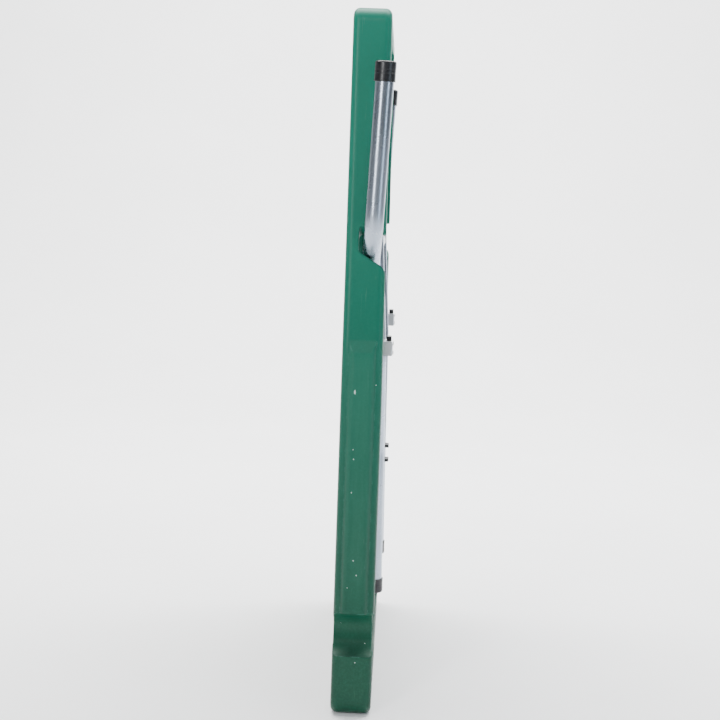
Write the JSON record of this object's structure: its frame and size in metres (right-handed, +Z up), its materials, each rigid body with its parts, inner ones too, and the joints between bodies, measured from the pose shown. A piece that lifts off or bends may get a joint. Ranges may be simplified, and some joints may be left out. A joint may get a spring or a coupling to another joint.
{
  "type": "ping pong table",
  "caption": "Compact ping pong table with a moulded deck and crossed tube legs on a sliding scissor fold, shown folded flat and standing on one short end.",
  "frame": {"origin": "middle of the flat end face that the folded table stands on", "axes": "+Z up along the deck's length, +X through the deck's thickness from the playing face towards the folded legs, +Y across the width"},
  "size_m": [0.0985, 0.852, 1.37],
  "materials": {
    "green_deck": "moulded green plastic, satin, fine grain",
    "leg_tube": "satin anodised tube",
    "rail_metal": "extruded, satin",
    "block_metal": "cast, bright",
    "zinc_steel": "zinc plated",
    "black_rubber": "moulded, satin",
    "black_plastic": "moulded, fine grain",
    "white_nylon": "turned nylon"
  },
  "bodies": {
    "deck": {"table_top": "green_deck", "leg_cradle": "black_plastic", "rail_screws": "zinc_steel", "bracket_screws": "zinc_steel", "cradle_screws": "zinc_steel", "slide_rail_left": "rail_metal", "slide_rail_right": "rail_metal", "rail_stops_left": "black_plastic", "rail_stops_right": "black_plastic", "hinge_bracket_left": "zinc_steel", "hinge_bracket_right": "zinc_steel", "pivot_bolt_left": "zinc_steel", "pivot_bolt_right": "zinc_steel", "pivot_nut_left": "zinc_steel", "pivot_nut_right": "zinc_steel"},
    "outer_legs": {"outer_pivot_tube": "leg_tube", "outer_brace": "leg_tube", "block_rivets": "zinc_steel", "outer_leg_left": "leg_tube", "outer_leg_right": "leg_tube", "outer_foot_cap_left": "black_rubber", "outer_foot_cap_right": "black_rubber", "outer_end_plug_left": "black_plastic", "outer_end_plug_right": "black_plastic", "crossing_block_left": "block_metal", "crossing_block_right": "block_metal", "crossing_bumper_left": "black_rubber", "crossing_bumper_right": "black_rubber", "crossing_bolt_left": "zinc_steel", "crossing_bolt_right": "zinc_steel", "crossing_nut_left": "zinc_steel", "crossing_nut_right": "zinc_steel"},
    "inner_legs": {"inner_top_tube": "leg_tube", "inner_foot_tube": "leg_tube", "inner_leg_left": "leg_tube", "inner_leg_right": "leg_tube", "inner_foot_cap_left": "black_rubber", "inner_foot_cap_right": "black_rubber", "inner_end_plug_left": "black_plastic", "inner_end_plug_right": "black_plastic", "roller_axle_left": "zinc_steel", "roller_axle_right": "zinc_steel", "crossing_washer_left": "white_nylon", "crossing_washer_right": "white_nylon"},
    "roller_left": {"roller_left": "white_nylon"},
    "roller_right": {"roller_right": "white_nylon"}
  },
  "joints": [
    {"name": "outer_fold", "type": "hinge", "parent": "deck", "child": "outer_legs", "pos_m": [-0.003, 0, 0.19], "axis": [0, 1, 0], "range_deg": [0, 39.6]},
    {"name": "inner_fold", "type": "hinge", "parent": "outer_legs", "child": "inner_legs", "pos_m": [0.028, 0, 0.721], "axis": [0, 1, 0], "range_deg": [-79.2, 0]},
    {"name": "roller_left_spin", "type": "hinge", "parent": "inner_legs", "child": "roller_left", "pos_m": [-0.003, 0.208, 1.252], "axis": [0, 1, 0], "continuous": true},
    {"name": "roller_right_spin", "type": "hinge", "parent": "inner_legs", "child": "roller_right", "pos_m": [-0.003, -0.208, 1.252], "axis": [0, 1, 0], "continuous": true}
  ],
  "couplings": [
    {"joint": "inner_fold", "follows": "outer_fold", "ratio": -2}
  ]
}
